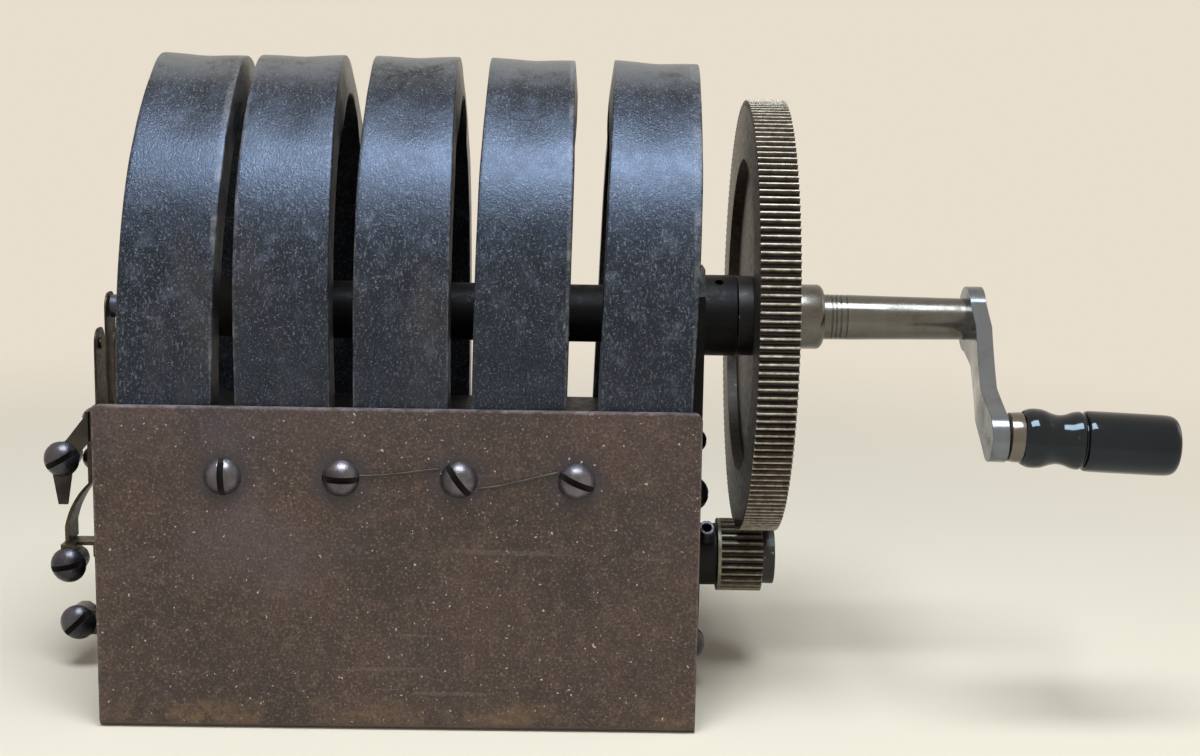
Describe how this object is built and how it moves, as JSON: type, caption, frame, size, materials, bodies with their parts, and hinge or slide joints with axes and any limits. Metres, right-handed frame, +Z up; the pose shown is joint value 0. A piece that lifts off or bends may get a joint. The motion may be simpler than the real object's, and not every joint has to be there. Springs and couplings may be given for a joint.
{
  "type": "magneto telephone generator",
  "caption": "Hand-cranked telephone magneto: horseshoe magnets over an iron case, a large gear driving a pinion and wound armature, contact springs and a crank with a black grip.",
  "frame": {"origin": "middle of the underside of the case, on the plane it stands on", "axes": "+X along the shafts towards the crank, +Y from the front plate to the back, +Z up"},
  "size_m": [0.2318, 0.093, 0.1331],
  "materials": {
    "case_steel": "old dark brown-grey paint over sheet steel",
    "magnet_steel": "black japanned, worn at the edges",
    "pole_iron": "dark, as cast and bored",
    "bracket_iron": "dark grey, rough",
    "screw_steel": "blued steel, slotted",
    "wire": "thin bare wire",
    "gear_steel": "dark sides, bright worn teeth",
    "shaft_steel": "turned, stained",
    "winding": "cotton-covered copper wire",
    "insulation": "dark fibre sheet",
    "spring_metal": "tarnished spring bronze",
    "terminal_metal": "tarnished plated steel",
    "arm_steel": "grey forged steel",
    "ferrule_metal": "dark tarnished brass",
    "grip_black": "glossy black hard rubber"
  },
  "bodies": {
    "frame": {"case_channel": "case_steel", "pole_piece_front": "pole_iron", "pole_piece_rear": "pole_iron", "pole_spacer": "pole_iron", "pole_bridge": "pole_iron", "gear_end_bracket": "bracket_iron", "contact_end_bracket": "bracket_iron", "oil_cup": "terminal_metal", "shaft_sleeve": "shaft_steel", "clamp_screws": "screw_steel", "tie_wires": "wire", "bracket_screws": "screw_steel", "arm_screw": "screw_steel", "stack_insulators": "insulation", "stack_clamp_plate": "spring_metal", "stack_screws": "screw_steel", "contact_blade_inner": "spring_metal", "contact_blade_outer": "spring_metal", "contact_blade_foot": "spring_metal", "upper_lug": "spring_metal", "collector_spring": "spring_metal", "lower_lug": "spring_metal", "lower_lug_screw": "screw_steel", "terminal_screws": "terminal_metal", "terminal_posts": "terminal_metal", "magnet_1": "magnet_steel", "magnet_2": "magnet_steel", "magnet_3": "magnet_steel", "magnet_4": "magnet_steel", "magnet_5": "magnet_steel"},
    "gear": {"gear_wheel": "gear_steel"},
    "armature": {"armature_core": "pole_iron", "armature_winding": "winding", "armature_shaft": "shaft_steel", "pinion": "gear_steel"},
    "crank": {"crank_shaft": "shaft_steel", "drive_pin": "shaft_steel", "crank_collar": "shaft_steel", "crank_arm": "arm_steel", "grip_pin": "arm_steel"},
    "grip": {"grip_ferrule": "ferrule_metal", "grip_handle": "grip_black"},
    "contact": {"contact_blade_moving": "spring_metal"}
  },
  "joints": [
    {"name": "gear_spin", "type": "hinge", "parent": "frame", "child": "gear", "pos_m": [0, 0, 0.07915], "axis": [1, 0, 0], "continuous": true},
    {"name": "armature_spin", "type": "hinge", "parent": "frame", "child": "armature", "pos_m": [0, 0, 0.02623], "axis": [1, 0, 0], "continuous": true},
    {"name": "crank_slide", "type": "slide", "parent": "gear", "child": "crank", "axis": [1, 0, 0], "range_m": [0, 0.002], "stiffness_N_per_m": 300},
    {"name": "grip_spin", "type": "hinge", "parent": "crank", "child": "grip", "pos_m": [0.1186, -0.04099, 0.06158], "axis": [0.9991, 0, -0.0419], "continuous": true},
    {"name": "contact_flex", "type": "hinge", "parent": "frame", "child": "contact", "pos_m": [-0.06545, 0, 0.0571], "axis": [0, 1, 0], "range_deg": [0, 1.85]}
  ],
  "couplings": [
    {"joint": "armature_spin", "follows": "gear_spin", "ratio": -6.1429},
    {"joint": "contact_flex", "follows": "crank_slide", "rad_per_m": 16}
  ]
}
